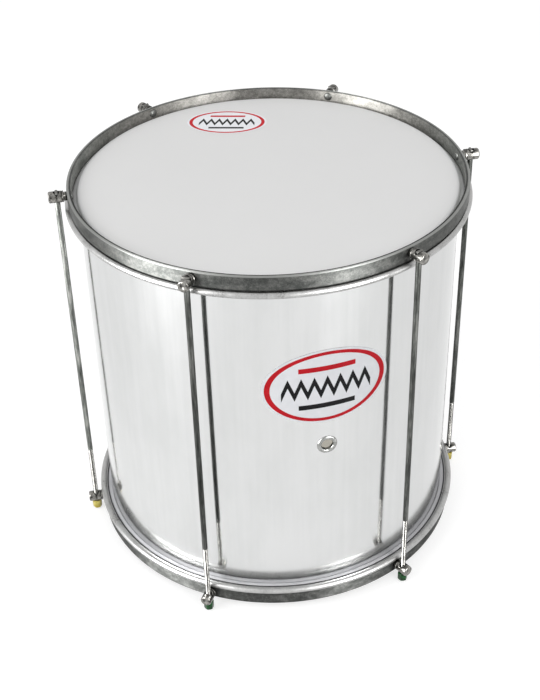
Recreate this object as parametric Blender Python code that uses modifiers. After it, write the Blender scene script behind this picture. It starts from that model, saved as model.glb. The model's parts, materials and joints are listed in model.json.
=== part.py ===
"""Surdo: a two-headed samba drum with six tension rods, in metres.

The origin is the middle of the floor under the drum, +Z is up and -Y is the front.
The drum stands on its rod tips. Turning the six nuts lets the top hoop, its studs
and the rods rise together, which slackens the heads.
"""

import math

import bmesh
import bpy
from mathutils import Matrix, Vector

# Layout round the drum
STATIONS = ("right", "back_right", "back_left", "left", "front_left", "front_right")
FIRST_ROD_AZIMUTH = math.radians(9.4)
VENT_FROM_FRONT_LEFT_ROD = math.radians(36.0)
CLEARANCE = 0.0003

# Shell
SHELL_DIAMETER = 0.4064
SHELL_DEPTH = 0.4109
SHELL_WALL = 0.0012
SHELL_EDGE_RADIUS = 0.0022
SHELL_LIP = 0.0034

# Heads, each a film that bends round the shell's edge, then slants out into its flesh hoop
FILM_THICKNESS = 0.0005
FILM_FALL = 0.0006
FILM_TUCK = 0.0022
COLLAR_DROP = 0.0069

# Flesh hoops, each a round bead with a lip inside it and a crimp groove between the two
FLESH_HOOP_PLAY = 0.0012
FLESH_HOOP_WIDTH = 0.0126
FLESH_BEAD_DIAMETER = 0.0074
FLESH_LIP_BELOW_MIDDLE = 0.0010
FLESH_LIP_THICKNESS = 0.0022
FLESH_LIP_WIDTH = 0.0030
FLESH_GROOVE_WIDTH = 0.0016
FLESH_GROOVE_DEPTH = 0.0014

# Counter hoops, flat bar bent on the flat, set in from the flesh hoops' outer side
HOOP_SET_IN = 0.0035
HOOP_THICKNESS = 0.0048
HOOP_HEIGHT = 0.0163
HOOP_EDGE = 0.0009

# Studs, turned and riveted through the counter hoops
STUD_BELOW_HOOP_EDGE = 0.0063
STUD_REACH = 0.0193
STUD_DIAMETER = 0.0124
STUD_CHAMFER = 0.0018
STUD_NECK_DIAMETER = 0.0096
STUD_NECK_LENGTH = 0.0033
STUD_SHANK_DIAMETER = 0.0074
RIVET_DIAMETER = 0.0096
RIVET_HEIGHT = 0.0020
RIVET_CROWN_DIAMETER = 0.0072
RIVET_SHOULDER_HEIGHT = 0.0014
NOTCH_DEPTH = 0.0032

# Tension rods
ROD_FROM_HOOP = 0.0105
ROD_DIAMETER = 0.0060
ROD_THREAD_DIAMETER = 0.0057
ROD_THREAD_LENGTH = 0.0925
ROD_TIP_CHAMFER = 0.0007
ROD_HEAD_WIDTH = 0.0050
ROD_HEAD_LENGTH = 0.0084
ROD_HEAD_CROWN = 0.0010
ROD_CORE_DIAMETER = 0.0030

# Tuning nuts
NUT_ACROSS_FLATS = 0.0100
NUT_HEIGHT = 0.0100
NUT_CHAMFER = 0.0008
ROD_TIP_BELOW_NUT = 0.0020

# Vent and its eyelet
VENT_HEIGHT = 0.2232
VENT_BORE = 0.0125
EYELET_WALL = 0.0009
EYELET_FLANGE_DIAMETER = 0.0218
EYELET_FLANGE_HEIGHT = 0.0013
EYELET_SHOULDER_HEIGHT = 0.0010
EYELET_MOUTH_HEIGHT = 0.0008
EYELET_RIM_HEIGHT = 0.0004
EYELET_MOUTH_CHAMFER = 0.0004
EYELET_CURL_WIDTH = 0.0009
EYELET_CURL_ROUND = 0.0004
EYELET_CURL_HEIGHT = 0.0006
WASHER_DIAMETER = 0.0190
WASHER_THICKNESS = 0.0008

# Label on the shell
LABEL_WIDTH = 0.1360
LABEL_HEIGHT = 0.0900
LABEL_THICKNESS = 0.0004
LABEL_ABOVE_VENT = 0.0755

# Facets
RING_SIDES = 60
STUD_SIDES = 16
ROD_SIDES = 12
NUT_SIDES = 6
LABEL_SIDES = 32
BEND_STEPS = 2
BEAD_STEPS = 9
CROWN_STEPS = 4
SMOOTH_BELOW = math.radians(35.0)
MERGE = 1e-6

# Radii round the drum's axis, from the shell outwards
SHELL_RADIUS = SHELL_DIAMETER / 2
FLESH_INNER_RADIUS = SHELL_RADIUS + FLESH_HOOP_PLAY
FLESH_OUTER_RADIUS = FLESH_INNER_RADIUS + FLESH_HOOP_WIDTH
HOOP_OUTER_RADIUS = FLESH_OUTER_RADIUS - HOOP_SET_IN
HOOP_INNER_RADIUS = HOOP_OUTER_RADIUS - HOOP_THICKNESS
ROD_CIRCLE = HOOP_OUTER_RADIUS + ROD_FROM_HOOP

# A ring's flats lie a little inside its corners, and what seats on a flat starts there
FLAT = math.cos(math.pi / RING_SIDES)
STUD_SHOULDER = HOOP_OUTER_RADIUS * FLAT + CLEARANCE
STUD_GRIP = HOOP_THICKNESS * FLAT + 2 * CLEARANCE
STUD_LENGTH = HOOP_OUTER_RADIUS + STUD_REACH - STUD_SHOULDER
ROD_FROM_SHOULDER = ROD_CIRCLE - STUD_SHOULDER
ROD_HOLE_RADIUS = ROD_DIAMETER / 2 + CLEARANCE
STUD_HOLE_RADIUS = STUD_SHANK_DIAMETER / 2 + CLEARANCE
NOTCH_FLOOR = STUD_DIAMETER / 2 - NOTCH_DEPTH

# Heights, from the rod tips up
NUT_BOTTOM = ROD_TIP_BELOW_NUT
BOTTOM_STUD_Z = NUT_BOTTOM + NUT_HEIGHT + CLEARANCE + STUD_DIAMETER / 2
BOTTOM_HOOP_TOP = BOTTOM_STUD_Z + STUD_BELOW_HOOP_EDGE
BOTTOM_FLESH_Z = BOTTOM_HOOP_TOP + CLEARANCE
BOTTOM_HEAD_Z = BOTTOM_FLESH_Z - COLLAR_DROP
SHELL_BOTTOM = BOTTOM_HEAD_Z + FILM_THICKNESS + CLEARANCE
SHELL_TOP = SHELL_BOTTOM + SHELL_DEPTH
TOP_HEAD_Z = SHELL_TOP + CLEARANCE + FILM_THICKNESS
TOP_FLESH_Z = TOP_HEAD_Z - COLLAR_DROP
TOP_HOOP_TOP = TOP_FLESH_Z + CLEARANCE + HOOP_HEIGHT
TOP_STUD_Z = TOP_HOOP_TOP - STUD_BELOW_HOOP_EDGE

# Reach of the cutters past what they cut, and the depth of the label's own cutter
REACH = 0.002
LABEL_CUTTER_DEPTH = 0.1000


def clear_scene():
    for item in list(bpy.data.objects):
        bpy.data.objects.remove(item, do_unlink=True)


def new_collection(name):
    collection = bpy.data.collections.new(name)
    bpy.context.scene.collection.children.link(collection)
    return collection


def new_material(name, colour, metallic, roughness):
    material = bpy.data.materials.new(name)
    material.use_nodes = True
    shader = material.node_tree.nodes["Principled BSDF"]
    shader.inputs["Base Color"].default_value = (*colour, 1.0)
    shader.inputs["Metallic"].default_value = metallic
    shader.inputs["Roughness"].default_value = roughness
    material.diffuse_color = (*colour, 1.0)
    return material


def new_object(name, data, collection, material=None):
    piece = bpy.data.objects.new(name, data)
    collection.objects.link(piece)
    if material:
        with_material(data, material)
    return piece


def with_material(data, material):
    data.materials.clear()
    data.materials.append(material)
    return data


def arc(centre_x, centre_z, radius, start, end, steps):
    """Points on an arc in the XZ plane, with both angles in degrees from +X."""
    angles = [math.radians(start + (end - start) * i / steps) for i in range(steps + 1)]
    return [(centre_x + radius * math.cos(a), centre_z + radius * math.sin(a)) for a in angles]


def turned(name, profile, sides, closed):
    """Turns an (x, z) profile, listed down its outer side, about Z."""
    mesh = bpy.data.meshes.new(name)
    last = len(profile) if closed else len(profile) - 1
    edges = [(i, (i + 1) % len(profile)) for i in range(last)]
    mesh.from_pydata([(x, 0.0, z) for x, z in profile], edges, [])
    piece = new_object(name, mesh, CUTTERS)
    screw = piece.modifiers.new("turn", "SCREW")
    screw.axis = "Z"
    screw.steps = sides
    screw.render_steps = sides
    screw.use_merge_vertices = True
    screw.merge_threshold = MERGE
    screw.use_smooth_shade = True
    return piece


def extruded(name, outline, thickness):
    """A flat outline in its XY plane, filled and given a thickness along Z."""
    curve = bpy.data.curves.new(name, "CURVE")
    curve.dimensions = "2D"
    curve.fill_mode = "BOTH"
    curve.extrude = thickness / 2
    spline = curve.splines.new("POLY")
    spline.points.add(len(outline) - 1)
    for point, (x, y) in zip(spline.points, outline):
        point.co = (x, y, 0.0, 1.0)
    spline.use_cyclic_u = True
    return new_object(name, curve, CUTTERS)


def baked(piece, name, transform=Matrix()):
    """The piece's evaluated mesh with loose caps welded, and the piece removed."""
    bpy.context.view_layer.update()
    graph = bpy.context.evaluated_depsgraph_get()
    mesh = bpy.data.meshes.new_from_object(piece.evaluated_get(graph))
    mesh.name = name
    mesh.transform(transform @ piece.matrix_world)
    bpy.data.objects.remove(piece, do_unlink=True)
    shape = bmesh.new()
    shape.from_mesh(mesh)
    bmesh.ops.remove_doubles(shape, verts=shape.verts, dist=MERGE)
    bmesh.ops.recalc_face_normals(shape, faces=shape.faces)
    shape.to_mesh(mesh)
    shape.free()
    mesh.shade_smooth()
    mesh.set_sharp_from_angle(angle=SMOOTH_BELOW)
    return mesh


def cylinder_cutter(name, radius, depth, sides, places):
    """A cutter of one cylinder along Z at each place."""
    shape = bmesh.new()
    for place in places:
        bmesh.ops.create_cone(
            shape,
            cap_ends=True,
            segments=sides,
            radius1=radius,
            radius2=radius,
            depth=depth,
            matrix=place,
        )
    mesh = bpy.data.meshes.new(name)
    shape.to_mesh(mesh)
    shape.free()
    return as_cutter(new_object(name, mesh, CUTTERS))


def as_cutter(piece):
    piece.hide_render = True
    piece.display_type = "WIRE"
    return piece


def combine(piece, other, operation):
    boolean = piece.modifiers.new(other.name, "BOOLEAN")
    boolean.operation = operation
    boolean.solver = "EXACT"
    boolean.object = other


def azimuth_of(station):
    return FIRST_ROD_AZIMUTH + 2 * math.pi * STATIONS.index(station) / len(STATIONS)


def ring_turn():
    """The turn about Z that puts the middle of a ring's flat at each station."""
    return FIRST_ROD_AZIMUTH + math.pi / RING_SIDES


def vent_azimuth():
    return azimuth_of("front_left") + VENT_FROM_FRONT_LEFT_ROD


def outward(azimuth, radius, z):
    """A frame at this place, its local Z pointing away from the drum's axis."""
    place = Matrix.Translation((radius * math.cos(azimuth), radius * math.sin(azimuth), z))
    return place @ Matrix.Rotation(azimuth, 4, "Z") @ Matrix.Rotation(math.pi / 2, 4, "Y")


def finish_ring(piece, name, material, parent, cutter=None):
    """Turns a ring to its stations, cuts it and files it with the parts."""
    mesh = baked(piece, name, Matrix.Rotation(ring_turn(), 4, "Z"))
    ring = new_object(name, mesh, PARTS, material)
    ring.parent = parent
    if cutter:
        combine(ring, cutter, "DIFFERENCE")
    return ring


def shell(material, parent):
    """A straight sheet cylinder with each edge rounded over into an inward lip."""
    r = SHELL_RADIUS
    inner = r - SHELL_WALL
    bend = r - SHELL_EDGE_RADIUS
    lip = bend - SHELL_LIP
    top_bend = SHELL_TOP - SHELL_EDGE_RADIUS
    bottom_bend = SHELL_BOTTOM + SHELL_EDGE_RADIUS
    profile = [(lip, SHELL_TOP)]
    profile += arc(bend, top_bend, SHELL_EDGE_RADIUS, 90, 0, BEND_STEPS)
    profile += arc(bend, bottom_bend, SHELL_EDGE_RADIUS, 0, -90, BEND_STEPS)
    profile += [(lip, SHELL_BOTTOM), (lip, SHELL_BOTTOM + SHELL_WALL)]
    profile += [(bend, SHELL_BOTTOM + SHELL_WALL), (inner, bottom_bend)]
    profile += [(inner, top_bend), (bend, SHELL_TOP - SHELL_WALL), (lip, SHELL_TOP - SHELL_WALL)]
    hole = cylinder_cutter(
        "vent_cutter",
        VENT_BORE / 2 + EYELET_WALL + CLEARANCE,
        2 * (SHELL_WALL + REACH),
        STUD_SIDES,
        [outward(vent_azimuth(), SHELL_RADIUS * FLAT, VENT_HEIGHT)],
    )
    return finish_ring(turned("shell", profile, RING_SIDES, True), "shell", material, parent, hole)


def collar_line():
    """The slant of a head's film: where it starts, its direction and the bead's middle.

    All are (x, z) pairs, with z counted up from the face that the flesh hoop turns to its head.
    """
    bead = FLESH_BEAD_DIAMETER / 2
    middle = Vector((FLESH_OUTER_RADIUS - bead, -bead))
    edge_centre = COLLAR_DROP - FILM_THICKNESS - CLEARANCE - SHELL_EDGE_RADIUS
    start = Vector((SHELL_RADIUS + CLEARANCE + FILM_THICKNESS / 2, edge_centre - FILM_FALL))
    return start, (middle - start).normalized(), middle


def across(direction):
    """The unit normal on the left of a direction in the XZ plane."""
    return Vector((-direction.y, direction.x))


def head_profile():
    """A head's section: flat, round the shell's edge, straight down, then out along its collar."""
    half = FILM_THICKNESS / 2
    start, slant, middle = collar_line()
    side = across(slant)
    fall = Vector((1.0, 0.0))
    corner = (fall + side) / (1.0 + fall.dot(side)) * half
    end = middle - slant * (FLESH_BEAD_DIAMETER / 2 - FILM_TUCK)
    edge_x = SHELL_RADIUS - SHELL_EDGE_RADIUS
    edge_z = start.y + FILM_FALL
    under = SHELL_EDGE_RADIUS + CLEARANCE
    profile = [(0.0, COLLAR_DROP)]
    profile += arc(edge_x, edge_z, under + FILM_THICKNESS, 90, 0, BEND_STEPS)
    profile += [tuple(start + corner), tuple(end + side * half), tuple(end - side * half)]
    profile += [tuple(start - corner)]
    profile += arc(edge_x, edge_z, under, 0, 90, BEND_STEPS)
    profile += [(0.0, COLLAR_DROP - FILM_THICKNESS)]
    return profile


def placed_profile(profile, z, upside_down):
    """Moves a section to height z, mirrored and relisted top to bottom for the lower head."""
    if upside_down:
        return [(x, z - h) for x, h in reversed(profile)]
    return [(x, z + h) for x, h in profile]


def head_film(name, z, upside_down, material, parent):
    profile = placed_profile(head_profile(), z, upside_down)
    return finish_ring(turned(name, profile, RING_SIDES, False), name, material, parent)


def flesh_hoop_profile():
    """A flesh hoop's section: the bead slit for the film, and the lip with its groove inside it."""
    bead = FLESH_BEAD_DIAMETER / 2
    _, slant, middle = collar_line()
    side = across(slant)
    slit = FILM_THICKNESS / 2 + CLEARANCE
    slit_floor = middle - slant * (bead - FILM_TUCK - CLEARANCE)
    slit_at = math.degrees(math.atan2(-slant.y, -slant.x))
    slit_spread = math.degrees(math.asin(slit / bead))
    lip_low = -FLESH_LIP_BELOW_MIDDLE
    lip_top = lip_low + FLESH_LIP_THICKNESS
    groove_top = lip_low + FLESH_GROOVE_DEPTH
    low_end = -180 + math.degrees(math.asin(-lip_low / bead))
    top_end = 180 - math.degrees(math.asin(lip_top / bead))
    profile = arc(middle.x, middle.y, bead, slit_at - slit_spread, low_end, BEAD_STEPS)
    groove_inner = FLESH_INNER_RADIUS + FLESH_LIP_WIDTH
    groove_outer = groove_inner + FLESH_GROOVE_WIDTH
    profile += [(groove_outer, middle.y + lip_low), (groove_outer, middle.y + groove_top)]
    profile += [(groove_inner, middle.y + groove_top)]
    profile += [(groove_inner, middle.y + lip_low), (FLESH_INNER_RADIUS, middle.y + lip_low)]
    profile += [(FLESH_INNER_RADIUS, middle.y + lip_top)]
    profile += arc(middle.x, middle.y, bead, top_end, slit_at + slit_spread, 1)
    profile += [tuple(slit_floor - side * slit), tuple(slit_floor + side * slit)]
    return profile


def flesh_hoop(name, z, upside_down, material, parent):
    profile = placed_profile(flesh_hoop_profile(), z, upside_down)
    return finish_ring(turned(name, profile, RING_SIDES, True), name, material, parent)


def counter_hoop(name, top, stud_z, material, parent):
    """Flat bar bent into a ring, its edges broken, with a hole for each stud."""
    low = top - HOOP_HEIGHT
    inner = HOOP_INNER_RADIUS
    outer = HOOP_OUTER_RADIUS
    edge = HOOP_EDGE
    profile = [(inner + edge, top), (outer - edge, top), (outer, top - edge), (outer, low + edge)]
    profile += [(outer - edge, low), (inner + edge, low), (inner, low + edge), (inner, top - edge)]
    middle = (inner + outer) / 2
    holes = cylinder_cutter(
        name + "_cutter",
        STUD_HOLE_RADIUS,
        HOOP_THICKNESS + 2 * REACH,
        STUD_SIDES,
        [outward(azimuth_of(station), middle, stud_z) for station in STATIONS],
    )
    return finish_ring(turned(name, profile, RING_SIDES, True), name, material, parent, holes)


def stud_mesh(material):
    """One stud along its local X, with x = 0 at the shoulder that meets the hoop."""
    barrel = STUD_DIAMETER / 2
    neck = STUD_NECK_DIAMETER / 2
    shank = STUD_SHANK_DIAMETER / 2
    rivet = RIVET_DIAMETER / 2
    profile = [(0.0, STUD_LENGTH), (barrel - STUD_CHAMFER, STUD_LENGTH)]
    profile += [(barrel, STUD_LENGTH - STUD_CHAMFER), (barrel, STUD_NECK_LENGTH)]
    profile += [(neck, STUD_NECK_LENGTH), (neck, 0.0), (shank, 0.0), (shank, -STUD_GRIP)]
    profile += [(rivet, -STUD_GRIP), (RIVET_CROWN_DIAMETER / 2, -STUD_GRIP - RIVET_SHOULDER_HEIGHT)]
    profile += [(0.0, -STUD_GRIP - RIVET_HEIGHT)]
    upright = turned("stud", profile, STUD_SIDES, False)
    lying = new_object("stud", baked(upright, "stud", Matrix.Rotation(math.pi / 2, 4, "Y")), CUTTERS)
    hole = cylinder_cutter(
        "rod_hole_cutter",
        ROD_HOLE_RADIUS,
        STUD_DIAMETER + 2 * REACH,
        ROD_SIDES,
        [Matrix.Translation((ROD_FROM_SHOULDER, 0.0, 0.0))],
    )
    combine(lying, hole, "DIFFERENCE")
    combine(lying, notch_cutter(), "DIFFERENCE")
    return with_material(baked(lying, "stud"), material)


def notch_cutter():
    """A square bar on edge that cuts the right-angled notch across a stud's top."""
    shape = bmesh.new()
    side = NOTCH_DEPTH + REACH
    corner = side / math.sqrt(2)
    size = Matrix.Diagonal((side, STUD_DIAMETER + 2 * REACH, side, 1.0))
    place = Matrix.Translation((ROD_FROM_SHOULDER, 0.0, NOTCH_FLOOR + corner))
    bmesh.ops.create_cube(shape, size=1.0, matrix=place @ Matrix.Rotation(math.pi / 4, 4, "Y") @ size)
    mesh = bpy.data.meshes.new("notch_cutter")
    shape.to_mesh(mesh)
    shape.free()
    return as_cutter(new_object("notch_cutter", mesh, CUTTERS))


def rod_mesh(material):
    """One rod along Z from its tip at z = 0, with the wedge head that lies in the stud's notch."""
    plain = ROD_DIAMETER / 2
    thread = ROD_THREAD_DIAMETER / 2
    wedge_floor = TOP_STUD_Z + NOTCH_FLOOR + CLEARANCE * math.sqrt(2)
    half = ROD_HEAD_WIDTH / 2
    shoulder = wedge_floor + half
    core = ROD_CORE_DIAMETER / 2
    profile = [(0.0, shoulder), (core, shoulder), (core, wedge_floor + plain - core)]
    profile += [(plain, wedge_floor), (plain, ROD_THREAD_LENGTH)]
    profile += [(thread, ROD_THREAD_LENGTH - plain + thread), (thread, ROD_TIP_CHAMFER)]
    profile += [(thread - ROD_TIP_CHAMFER, 0.0), (0.0, 0.0)]
    crown_radius = (half**2 + ROD_HEAD_CROWN**2) / (2 * ROD_HEAD_CROWN)
    spread = math.degrees(math.asin(half / crown_radius))
    crown_centre = shoulder + ROD_HEAD_CROWN - crown_radius
    outline = [(0.0, wedge_floor)]
    outline += arc(0.0, crown_centre, crown_radius, 90 - spread, 90 + spread, CROWN_STEPS)
    bar = extruded("rod_head", outline, ROD_HEAD_LENGTH)
    standing = Matrix.Rotation(math.pi / 2, 4, "X")
    head = new_object("rod_head", baked(bar, "rod_head", standing), CUTTERS)
    rod = new_object("rod", baked(turned("rod", profile, ROD_SIDES, False), "rod"), CUTTERS)
    combine(rod, as_cutter(head), "UNION")
    return with_material(baked(rod, "rod"), material)


def nut_mesh(name, material):
    """A long hexagon nut with z = 0 at its middle."""
    half = NUT_HEIGHT / 2
    corner = NUT_ACROSS_FLATS / 2 / math.cos(math.pi / NUT_SIDES)
    profile = [(0.0, half), (corner - NUT_CHAMFER, half), (corner, half - NUT_CHAMFER)]
    profile += [(corner, NUT_CHAMFER - half), (corner - NUT_CHAMFER, -half), (0.0, -half)]
    blank = new_object(name, baked(turned(name, profile, NUT_SIDES, False), name), CUTTERS)
    bore = cylinder_cutter(
        name + "_bore_cutter", ROD_HOLE_RADIUS, NUT_HEIGHT + 2 * REACH, ROD_SIDES, [Matrix()]
    )
    combine(blank, bore, "DIFFERENCE")
    return with_material(baked(blank, name), material)


def vent_eyelet(material, parent):
    """A flanged tube through the shell, curled out over the washer inside."""
    bore = VENT_BORE / 2
    tube = bore + EYELET_WALL
    flange = EYELET_FLANGE_DIAMETER / 2
    seat = CLEARANCE
    curl = -(SHELL_WALL * FLAT + WASHER_THICKNESS + 2 * CLEARANCE)
    profile = [(bore + EYELET_MOUTH_CHAMFER, seat + EYELET_FLANGE_HEIGHT)]
    profile += [(flange - EYELET_WALL, seat + EYELET_SHOULDER_HEIGHT)]
    profile += [(flange, seat + EYELET_RIM_HEIGHT), (flange, seat), (tube, seat)]
    rolled = tube + EYELET_CURL_WIDTH
    profile += [(tube, curl), (rolled, curl)]
    profile += [(rolled - EYELET_CURL_ROUND, curl - EYELET_CURL_HEIGHT), (bore, curl - EYELET_CURL_HEIGHT)]
    profile += [(bore, seat + EYELET_MOUTH_HEIGHT)]
    mesh = baked(turned("vent_eyelet", profile, STUD_SIDES, True), "vent_eyelet")
    return at_vent(new_object("vent_eyelet", mesh, PARTS, material), parent)


def vent_washer(material, parent):
    inner = VENT_BORE / 2 + EYELET_WALL + CLEARANCE
    outer = WASHER_DIAMETER / 2
    top = -(SHELL_WALL * FLAT + CLEARANCE)
    low = top - WASHER_THICKNESS
    profile = [(inner, top), (outer, top), (outer, low), (inner, low)]
    mesh = baked(turned("vent_washer", profile, STUD_SIDES, True), "vent_washer")
    return at_vent(new_object("vent_washer", mesh, PARTS, material), parent)


def at_vent(piece, parent):
    piece.parent = parent
    piece.matrix_local = outward(vent_azimuth(), SHELL_RADIUS * FLAT, VENT_HEIGHT)
    return piece


def shell_label(material, parent):
    """An oval sticker that follows the shell, cut from a thin band round it."""
    inner = SHELL_RADIUS + CLEARANCE
    outer = inner + LABEL_THICKNESS
    middle = VENT_HEIGHT + LABEL_ABOVE_VENT
    top = middle + LABEL_HEIGHT
    low = middle - LABEL_HEIGHT
    profile = [(inner, top), (outer, top), (outer, low), (inner, low)]
    label = finish_ring(turned("shell_label", profile, RING_SIDES, True), "shell_label", material, parent)
    turns = [2 * math.pi * i / LABEL_SIDES for i in range(LABEL_SIDES)]
    # The outline lies upright once its frame's local Z points outwards, so its height is along X.
    chord = SHELL_RADIUS * math.sin(LABEL_WIDTH / SHELL_DIAMETER)
    outline = [(LABEL_HEIGHT / 2 * math.cos(t), chord * math.sin(t)) for t in turns]
    oval = extruded("label_outline", outline, LABEL_CUTTER_DEPTH)
    mesh = baked(oval, "label_cutter", outward(vent_azimuth(), SHELL_RADIUS, middle))
    combine(label, as_cutter(new_object("label_cutter", mesh, CUTTERS)), "INTERSECT")
    return label


def station_pieces(station, meshes, frame, lift):
    """The rod, the two studs and the nut of one station."""
    azimuth = azimuth_of(station)
    direction = Vector((math.cos(azimuth), math.sin(azimuth), 0.0))
    up = Vector((0.0, 0.0, 1.0))
    nut_z = NUT_BOTTOM + NUT_HEIGHT / 2
    pieces = (
        ("top_stud_", meshes["stud"], STUD_SHOULDER, TOP_STUD_Z, lift),
        ("bottom_stud_", meshes["stud"], STUD_SHOULDER, BOTTOM_STUD_Z, frame),
        ("tension_rod_", meshes["rod"], ROD_CIRCLE, 0.0, lift),
        ("tuning_nut_", meshes["nut"][station], ROD_CIRCLE, nut_z, frame),
    )
    for kind, mesh, radius, z, parent in pieces:
        piece = new_object(kind + station, mesh, PARTS)
        piece.parent = parent
        piece.location = direction * radius + up * z
        piece.rotation_euler = (0.0, 0.0, azimuth)


def nut_meshes():
    """Three of the nuts show: the left one is yellow and the two in front are green."""
    green = nut_mesh("green_nut", new_material("green_nut_paint", (0.01, 0.20, 0.07), 0.0, 0.35))
    yellow = nut_mesh("yellow_nut", new_material("yellow_nut_paint", (0.78, 0.60, 0.10), 0.0, 0.35))
    return {station: yellow if station in ("left", "right") else green for station in STATIONS}


def new_empty(name):
    empty = bpy.data.objects.new(name, None)
    PARTS.objects.link(empty)
    return empty


def build():
    sheet = new_material("shell_aluminium", (0.80, 0.81, 0.82), 1.0, 0.22)
    ring = new_material("flesh_hoop_aluminium", (0.82, 0.82, 0.81), 1.0, 0.35)
    bar = new_material("hoop_galvanised_steel", (0.30, 0.31, 0.29), 1.0, 0.42)
    turned_steel = new_material("stud_steel", (0.42, 0.41, 0.39), 1.0, 0.30)
    drawn_steel = new_material("rod_steel", (0.34, 0.34, 0.33), 1.0, 0.38)
    milky = new_material("head_milky_film", (0.78, 0.79, 0.80), 0.0, 0.45)
    plated = new_material("eyelet_nickel_plate", (0.66, 0.65, 0.62), 1.0, 0.28)
    paper = new_material("label_white_vinyl", (0.86, 0.86, 0.86), 0.0, 0.40)

    frame = new_empty("drum_frame")
    lift = new_empty("top_hoop_lift")

    shell(sheet, frame)
    head_film("top_head_film", TOP_FLESH_Z, False, milky, frame)
    head_film("bottom_head_film", BOTTOM_FLESH_Z, True, milky, frame)
    flesh_hoop("top_flesh_hoop", TOP_FLESH_Z, False, ring, frame)
    flesh_hoop("bottom_flesh_hoop", BOTTOM_FLESH_Z, True, ring, frame)
    counter_hoop("top_counter_hoop", TOP_HOOP_TOP, TOP_STUD_Z, bar, lift)
    counter_hoop("bottom_counter_hoop", BOTTOM_HOOP_TOP, BOTTOM_STUD_Z, bar, frame)
    vent_eyelet(plated, frame)
    vent_washer(plated, frame)
    shell_label(paper, frame)
    meshes = {"stud": stud_mesh(turned_steel), "rod": rod_mesh(drawn_steel), "nut": nut_meshes()}
    for station in STATIONS:
        station_pieces(station, meshes, frame, lift)


clear_scene()
PARTS = new_collection("surdo")
CUTTERS = new_collection("cutters")
build()
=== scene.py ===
"""Dresses the surdo's frame with finely made pieces, materials and a plain studio."""

import json
import math

import bmesh
import bpy
from mathutils import Matrix, Vector


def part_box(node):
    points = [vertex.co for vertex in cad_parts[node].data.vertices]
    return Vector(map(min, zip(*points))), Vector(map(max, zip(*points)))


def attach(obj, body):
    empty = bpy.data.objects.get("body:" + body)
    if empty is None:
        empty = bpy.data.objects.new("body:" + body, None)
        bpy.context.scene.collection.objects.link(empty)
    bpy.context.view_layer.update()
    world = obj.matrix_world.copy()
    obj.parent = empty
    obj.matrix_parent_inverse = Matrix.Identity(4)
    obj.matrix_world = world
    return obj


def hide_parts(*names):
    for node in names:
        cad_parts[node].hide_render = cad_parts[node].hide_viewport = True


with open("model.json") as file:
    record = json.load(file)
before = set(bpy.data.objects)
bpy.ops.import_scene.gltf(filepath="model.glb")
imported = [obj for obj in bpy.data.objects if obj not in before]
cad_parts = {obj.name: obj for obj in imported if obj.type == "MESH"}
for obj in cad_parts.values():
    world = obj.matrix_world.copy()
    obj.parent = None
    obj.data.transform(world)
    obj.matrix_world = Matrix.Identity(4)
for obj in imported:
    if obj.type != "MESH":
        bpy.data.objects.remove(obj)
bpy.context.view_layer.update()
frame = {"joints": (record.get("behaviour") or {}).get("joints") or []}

# Stations, with each rod's axis read from the joint of its nut
NUT_JOINTS = [j for j in frame["joints"] if j["type"] == "hinge"]
STATIONS = [j["child"][len("nut_"):] for j in NUT_JOINTS]
AZIMUTHS = {s: math.atan2(j["pos_m"][1], j["pos_m"][0]) for s, j in zip(STATIONS, NUT_JOINTS)}
ROD_CIRCLE = math.hypot(*NUT_JOINTS[0]["pos_m"][:2])

# Heights from the frame's nodes
TOP_HOOP_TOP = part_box("top_counter_hoop")[1].z
TOP_HOOP_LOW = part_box("top_counter_hoop")[0].z
BOTTOM_HOOP_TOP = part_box("bottom_counter_hoop")[1].z
BOTTOM_HOOP_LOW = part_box("bottom_counter_hoop")[0].z
TOP_HEAD_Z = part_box("top_head_film")[1].z
BOTTOM_HEAD_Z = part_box("bottom_head_film")[0].z
TOP_FLESH_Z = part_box("top_flesh_hoop")[1].z
BOTTOM_FLESH_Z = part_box("bottom_flesh_hoop")[0].z
SHELL_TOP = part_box("shell")[1].z
SHELL_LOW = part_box("shell")[0].z
TOP_STUD_Z = (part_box("top_stud_right")[0].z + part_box("top_stud_right")[1].z) / 2
BOTTOM_STUD_Z = (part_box("bottom_stud_right")[0].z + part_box("bottom_stud_right")[1].z) / 2
ROD_HEAD_TOP = TOP_STUD_Z + 0.0064
NUT_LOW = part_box("tuning_nut_right")[0].z
NUT_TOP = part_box("tuning_nut_right")[1].z
LABEL_Z = (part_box("shell_label")[0].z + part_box("shell_label")[1].z) / 2
LABEL_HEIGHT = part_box("shell_label")[1].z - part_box("shell_label")[0].z
EYELET_Z = (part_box("vent_eyelet")[0].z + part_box("vent_eyelet")[1].z) / 2

# Sizes across, in metres
SHELL_RADIUS = 0.2032
SHELL_WALL = 0.0012
SHELL_EDGE_RADIUS = 0.0022
SHELL_LIP = 0.0034
FILM_THICKNESS = 0.0005
FILM_GAP = 0.0002
FILM_FALL = 0.0007
FILM_TUCK = 0.0022
FILM_GLOW = 0.30
COLLAR_WIDTH = 0.0034
COLLAR_SLOPE = math.radians(21.0)
FLESH_INNER = 0.2033
FLESH_OUTER = 0.2170
BEAD_RADIUS = 0.0037
LIP_LOW = -0.0010
LIP_TOP = 0.0012
GROOVE_INNER = 0.2074
GROOVE_OUTER = 0.2090
GROOVE_TOP = 0.0004
HOOP_INNER = 0.2087
HOOP_OUTER = 0.2135
HOOP_EDGE = 0.0015
STUD_RADIUS = 0.0062
STUD_END = 0.2328
STUD_NECK_RADIUS = 0.0048
STUD_NECK_LENGTH = 0.0033
STUD_SHANK_RADIUS = 0.0037
RIVET_RADIUS = 0.0048
RIVET_HEIGHT = 0.0020
NOTCH_DEPTH = 0.0032
ROD_RADIUS = 0.0030
ROD_HOLE_RADIUS = 0.0033
THREAD_RADIUS = 0.00285
THREAD_ROOT = 0.00245
THREAD_PITCH = 0.0010
THREAD_LENGTH = 0.0925
ROD_HEAD_WIDTH = 0.0034
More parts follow.
